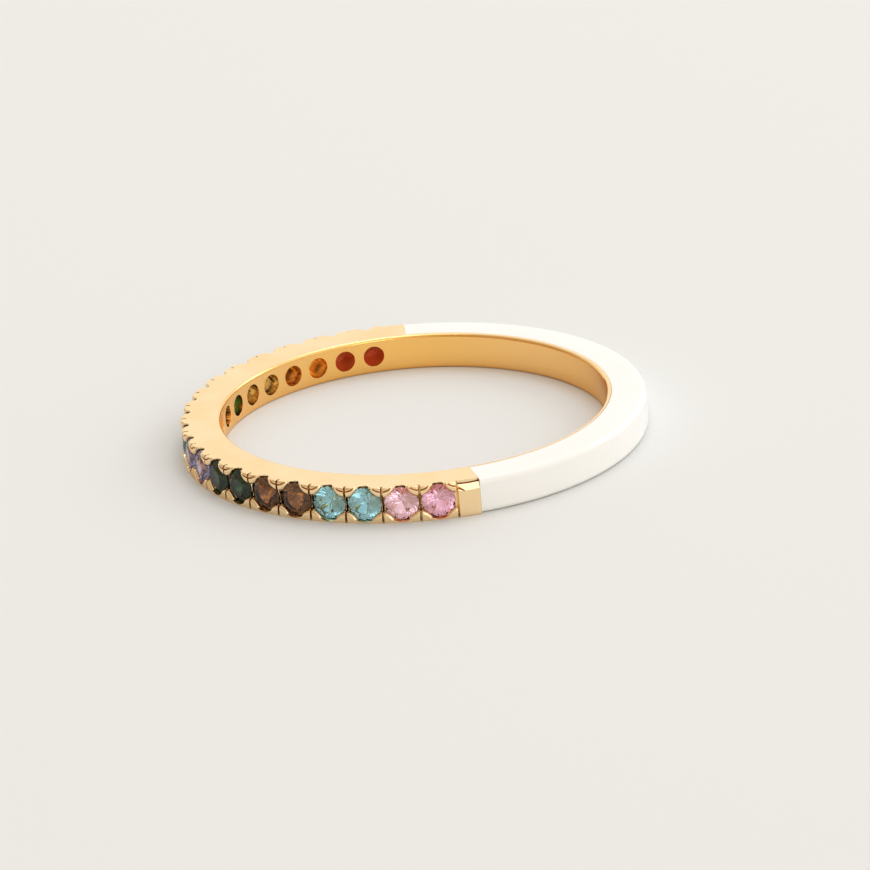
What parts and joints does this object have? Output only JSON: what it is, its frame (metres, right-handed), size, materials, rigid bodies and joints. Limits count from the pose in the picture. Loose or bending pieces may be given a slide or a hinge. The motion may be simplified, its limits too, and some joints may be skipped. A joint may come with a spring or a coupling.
{
  "type": "stackable ring",
  "caption": "Slim flat-sided gold finger ring, half set with a row of small round brilliant stones in scalloped prongs, half covered in white enamel, lying on its side",
  "frame": {"origin": "centre of the circle that the ring rests on, on its lower side face", "axes": "+Z is the ring's own axis and points up, away from the surface that it lies on. -Y points out through the middle of the row of stones, and +Y through the middle of the enamel."},
  "size_m": [0.0208, 0.0208, 0.0016],
  "materials": {
    "gold": null,
    "enamel": "glossy warm white enamel",
    "gem_pink": "clear faceted pink gemstone, polished",
    "gem_aqua": "clear faceted aqua gemstone, polished",
    "gem_brown": "clear faceted brown gemstone, polished",
    "gem_dark_green": "clear faceted dark green gemstone, polished",
    "gem_violet": "clear faceted violet gemstone, polished",
    "gem_teal": "clear faceted teal gemstone, polished",
    "gem_green": "clear faceted green gemstone, polished",
    "gem_yellow": "clear faceted yellow gemstone, polished",
    "gem_orange": "clear faceted orange gemstone, polished",
    "gem_garnet": "clear faceted garnet gemstone, polished"
  },
  "bodies": {
    "root": {"band": "gold", "enamel": "enamel", "stone_01": "gem_pink", "stone_02": "gem_pink", "stone_03": "gem_aqua", "stone_04": "gem_aqua", "stone_05": "gem_brown", "stone_06": "gem_brown", "stone_07": "gem_dark_green", "stone_08": "gem_dark_green", "stone_09": "gem_violet", "stone_10": "gem_violet", "stone_11": "gem_teal", "stone_12": "gem_teal", "stone_13": "gem_green", "stone_14": "gem_green", "stone_15": "gem_yellow", "stone_16": "gem_yellow", "stone_17": "gem_orange", "stone_18": "gem_orange", "stone_19": "gem_garnet", "stone_20": "gem_garnet"}
  },
  "joints": []
}
